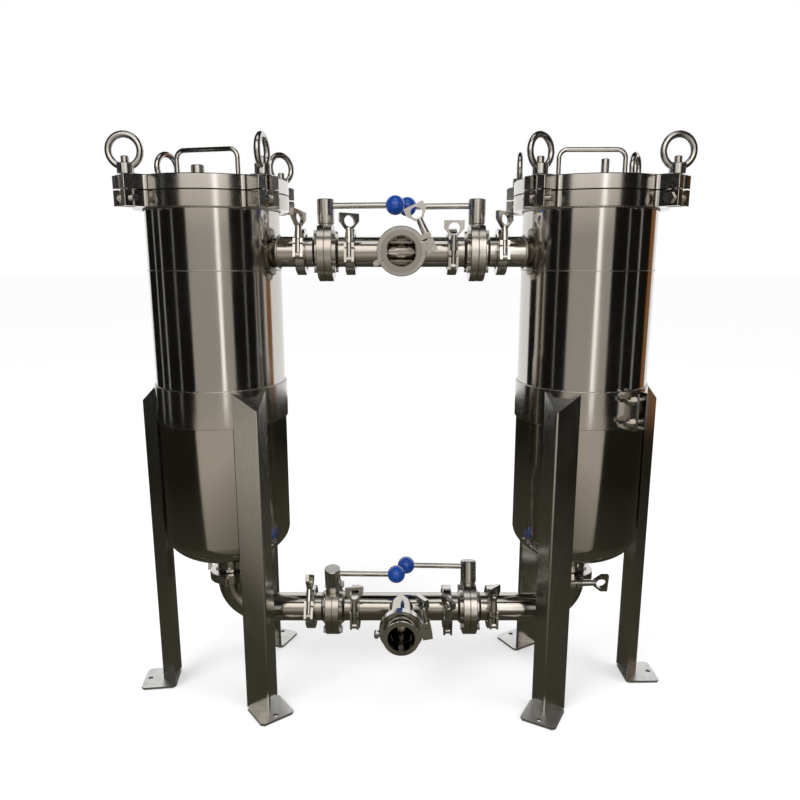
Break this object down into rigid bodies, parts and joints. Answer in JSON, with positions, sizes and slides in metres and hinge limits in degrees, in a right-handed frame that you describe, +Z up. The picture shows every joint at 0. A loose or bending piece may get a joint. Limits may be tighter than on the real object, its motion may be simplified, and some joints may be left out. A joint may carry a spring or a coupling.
{
  "type": "bag filter housing",
  "caption": "Twin stainless bag filter housing on legs, with swing-bolt lids and butterfly valves on its inlet and outlet headers.",
  "frame": {"origin": "on the floor, under the middle of the whole assembly's box", "axes": "+X along the headers towards the right vessel, +Z up, process connections towards -Y"},
  "size_m": [0.9746, 0.33, 0.9713],
  "materials": {
    "shell_steel": "finely brushed, near mirror",
    "lid_steel": "turned and polished",
    "flange_steel": "turned and polished",
    "handle_steel": "polished rod",
    "fitting_steel": "polished",
    "band_steel": "polished, bright edges",
    "leg_steel": "mill finish, lightly polished",
    "foot_steel": "satin",
    "tube_steel": "polished tube",
    "clamp_steel": "investment cast, polished",
    "nut_steel": "investment cast, satin",
    "valve_steel": "machined, satin",
    "hub_steel": "machined, satin",
    "lever_steel": "polished rod",
    "swing_bolt_steel": "machined",
    "eye_nut_steel": "cast, satin",
    "basket_steel": "punched sheet",
    "fastener_steel": "machined",
    "seal_rubber": "moulded",
    "knob_plastic": "glossy moulded ball",
    "bag_felt": "needle felt"
  },
  "bodies": {
    "housing": {"bag_baskets": "basket_steel", "band_bolts": "fastener_steel", "clamp_bolts": "fastener_steel", "clamp_halves": "clamp_steel", "clamp_wing_nuts": "nut_steel", "ferrule_gaskets": "seal_rubber", "filter_bags": "bag_felt", "foot_plates": "foot_steel", "header_tees": "tube_steel", "legs": "leg_steel", "lid_gaskets": "seal_rubber", "outlet_elbows": "tube_steel", "pivot_pins": "fastener_steel", "support_bands": "band_steel", "tee_end_ferrules": "tube_steel", "valve_bodies": "valve_steel", "valve_bolts": "fastener_steel", "valve_seats": "seal_rubber", "vessel_flanges": "flange_steel", "vessel_nozzles": "tube_steel", "vessel_shell_left": "shell_steel", "vessel_shell_right": "shell_steel"},
    "left_lid": {"lid_left": "lid_steel", "lid_handle_left": "handle_steel", "vent_plug_left": "fitting_steel"},
    "left_front_left_bolt": {"swing_bolt_left_front_left": "swing_bolt_steel"},
    "left_front_left_nut": {"eye_nut_left_front_left": "eye_nut_steel"},
    "left_front_right_bolt": {"swing_bolt_left_front_right": "swing_bolt_steel"},
    "left_front_right_nut": {"eye_nut_left_front_right": "eye_nut_steel"},
    "left_back_right_bolt": {"swing_bolt_left_back_right": "swing_bolt_steel"},
    "left_back_right_nut": {"eye_nut_left_back_right": "eye_nut_steel"},
    "left_back_left_bolt": {"swing_bolt_left_back_left": "swing_bolt_steel"},
    "left_back_left_nut": {"eye_nut_left_back_left": "eye_nut_steel"},
    "right_lid": {"lid_right": "lid_steel", "lid_handle_right": "handle_steel", "vent_plug_right": "fitting_steel"},
    "right_front_left_bolt": {"swing_bolt_right_front_left": "swing_bolt_steel"},
    "right_front_left_nut": {"eye_nut_right_front_left": "eye_nut_steel"},
    "right_front_right_bolt": {"swing_bolt_right_front_right": "swing_bolt_steel"},
    "right_front_right_nut": {"eye_nut_right_front_right": "eye_nut_steel"},
    "right_back_right_bolt": {"swing_bolt_right_back_right": "swing_bolt_steel"},
    "right_back_right_nut": {"eye_nut_right_back_right": "eye_nut_steel"},
    "right_back_left_bolt": {"swing_bolt_right_back_left": "swing_bolt_steel"},
    "right_back_left_nut": {"eye_nut_right_back_left": "eye_nut_steel"},
    "upper_left_lever": {"valve_disc_upper_left": "valve_steel", "lever_hub_upper_left": "hub_steel"},
    "upper_left_pull_rod": {"lever_rod_upper_left": "lever_steel", "lever_knob_upper_left": "knob_plastic"},
    "upper_right_lever": {"valve_disc_upper_right": "valve_steel", "lever_hub_upper_right": "hub_steel"},
    "upper_right_pull_rod": {"lever_rod_upper_right": "lever_steel", "lever_knob_upper_right": "knob_plastic"},
    "lower_left_lever": {"valve_disc_lower_left": "valve_steel", "lever_hub_lower_left": "hub_steel"},
    "lower_left_pull_rod": {"lever_rod_lower_left": "lever_steel", "lever_knob_lower_left": "knob_plastic"},
    "lower_right_lever": {"valve_disc_lower_right": "valve_steel", "lever_hub_lower_right": "hub_steel"},
    "lower_right_pull_rod": {"lever_rod_lower_right": "lever_steel", "lever_knob_lower_right": "knob_plastic"}
  },
  "joints": [
    {"name": "left_lid_lift", "type": "slide", "parent": "housing", "child": "left_lid", "axis": [0, 0, 1], "range_m": [0, 0.022]},
    {"name": "left_front_left_bolt_swing", "type": "hinge", "parent": "housing", "child": "left_front_left_bolt", "pos_m": [-0.41569, -0.10773, 0.87325], "axis": [0.7193, -0.6947, 0], "range_deg": [0, 110]},
    {"name": "left_front_left_nut_travel", "type": "slide", "parent": "left_front_left_bolt", "child": "left_front_left_nut", "axis": [0, 0, 1], "range_m": [0, 0.022]},
    {"name": "left_front_right_bolt_swing", "type": "hinge", "parent": "housing", "child": "left_front_right_bolt", "pos_m": [-0.20924, -0.10412, 0.87325], "axis": [0.6947, 0.7193, 0], "range_deg": [0, 110]},
    {"name": "left_front_right_nut_travel", "type": "slide", "parent": "left_front_right_bolt", "child": "left_front_right_nut", "axis": [0, 0, 1], "range_m": [0, 0.022]},
    {"name": "left_back_right_bolt_swing", "type": "hinge", "parent": "housing", "child": "left_back_right_bolt", "pos_m": [-0.21657, 0.1058, 0.87325], "axis": [-0.7431, 0.6691, 0], "range_deg": [0, 110]},
    {"name": "left_back_right_nut_travel", "type": "slide", "parent": "left_back_right_bolt", "child": "left_back_right_nut", "axis": [0, 0, 1], "range_m": [0, 0.022]},
    {"name": "left_back_left_bolt_swing", "type": "hinge", "parent": "housing", "child": "left_back_left_bolt", "pos_m": [-0.41929, 0.09872, 0.87325], "axis": [-0.6947, -0.7193, 0], "range_deg": [0, 110]},
    {"name": "left_back_left_nut_travel", "type": "slide", "parent": "left_back_left_bolt", "child": "left_back_left_nut", "axis": [0, 0, 1], "range_m": [0, 0.022]},
    {"name": "right_lid_lift", "type": "slide", "parent": "housing", "child": "right_lid", "axis": [0, 0, 1], "range_m": [0, 0.022]},
    {"name": "right_front_left_bolt_swing", "type": "hinge", "parent": "housing", "child": "right_front_left_bolt", "pos_m": [0.21071, -0.10412, 0.87325], "axis": [0.6947, -0.7193, 0], "range_deg": [0, 110]},
    {"name": "right_front_left_nut_travel", "type": "slide", "parent": "right_front_left_bolt", "child": "right_front_left_nut", "axis": [0, 0, 1], "range_m": [0, 0.022]},
    {"name": "right_front_right_bolt_swing", "type": "hinge", "parent": "housing", "child": "right_front_right_bolt", "pos_m": [0.41715, -0.10773, 0.87325], "axis": [0.7193, 0.6947, 0], "range_deg": [0, 110]},
    {"name": "right_front_right_nut_travel", "type": "slide", "parent": "right_front_right_bolt", "child": "right_front_right_nut", "axis": [0, 0, 1], "range_m": [0, 0.022]},
    {"name": "right_back_right_bolt_swing", "type": "hinge", "parent": "housing", "child": "right_back_right_bolt", "pos_m": [0.42076, 0.09872, 0.87325], "axis": [-0.6947, 0.7193, 0], "range_deg": [0, 110]},
    {"name": "right_back_right_nut_travel", "type": "slide", "parent": "right_back_right_bolt", "child": "right_back_right_nut", "axis": [0, 0, 1], "range_m": [0, 0.022]},
    {"name": "right_back_left_bolt_swing", "type": "hinge", "parent": "housing", "child": "right_back_left_bolt", "pos_m": [0.21431, 0.10232, 0.87325], "axis": [-0.7193, -0.6947, 0], "range_deg": [0, 110]},
    {"name": "right_back_left_nut_travel", "type": "slide", "parent": "right_back_left_bolt", "child": "right_back_left_nut", "axis": [0, 0, 1], "range_m": [0, 0.022]},
    {"name": "upper_left_lever_turn", "type": "hinge", "parent": "housing", "child": "upper_left_lever", "pos_m": [-0.12577, -0.0027, 0.795], "axis": [0, 0, 1], "range_deg": [-82, 0]},
    {"name": "upper_left_rod_pull", "type": "slide", "parent": "upper_left_lever", "child": "upper_left_pull_rod", "axis": [0.9903, -0.1392, 0], "range_m": [0, 0.006], "stiffness_N_per_m": 1500, "springref_m": -0.004},
    {"name": "upper_right_lever_turn", "type": "hinge", "parent": "housing", "child": "upper_right_lever", "pos_m": [0.12723, -0.0027, 0.795], "axis": [0, 0, 1], "range_deg": [-82, 0]},
    {"name": "upper_right_rod_pull", "type": "slide", "parent": "upper_right_lever", "child": "upper_right_pull_rod", "axis": [-0.9903, 0.1392, 0], "range_m": [0, 0.006], "stiffness_N_per_m": 1500, "springref_m": -0.004},
    {"name": "lower_left_lever_turn", "type": "hinge", "parent": "housing", "child": "lower_left_lever", "pos_m": [-0.12577, -0.0027, 0.142], "axis": [0, -0.1908, 0.9816], "range_deg": [-89, 0]},
    {"name": "lower_left_rod_pull", "type": "slide", "parent": "lower_left_lever", "child": "lower_left_pull_rod", "axis": [0.9998, -0.0171, -0.0033], "range_m": [0, 0.006], "stiffness_N_per_m": 1500, "springref_m": -0.004},
    {"name": "lower_right_lever_turn", "type": "hinge", "parent": "housing", "child": "lower_right_lever", "pos_m": [0.12723, -0.0027, 0.142], "axis": [0, 0.2419, 0.9703], "range_deg": [-84.7, 0]},
    {"name": "lower_right_rod_pull", "type": "slide", "parent": "lower_right_lever", "child": "lower_right_pull_rod", "axis": [-0.9957, 0.0896, -0.0223], "range_m": [0, 0.006], "stiffness_N_per_m": 1500, "springref_m": -0.004}
  ],
  "couplings": [
    {"joint": "left_front_left_nut_travel", "follows": "left_lid_lift", "ratio": 1},
    {"joint": "left_front_right_nut_travel", "follows": "left_lid_lift", "ratio": 1},
    {"joint": "left_back_right_nut_travel", "follows": "left_lid_lift", "ratio": 1},
    {"joint": "left_back_left_nut_travel", "follows": "left_lid_lift", "ratio": 1},
    {"joint": "right_front_left_nut_travel", "follows": "right_lid_lift", "ratio": 1},
    {"joint": "right_front_right_nut_travel", "follows": "right_lid_lift", "ratio": 1},
    {"joint": "right_back_right_nut_travel", "follows": "right_lid_lift", "ratio": 1},
    {"joint": "right_back_left_nut_travel", "follows": "right_lid_lift", "ratio": 1}
  ]
}
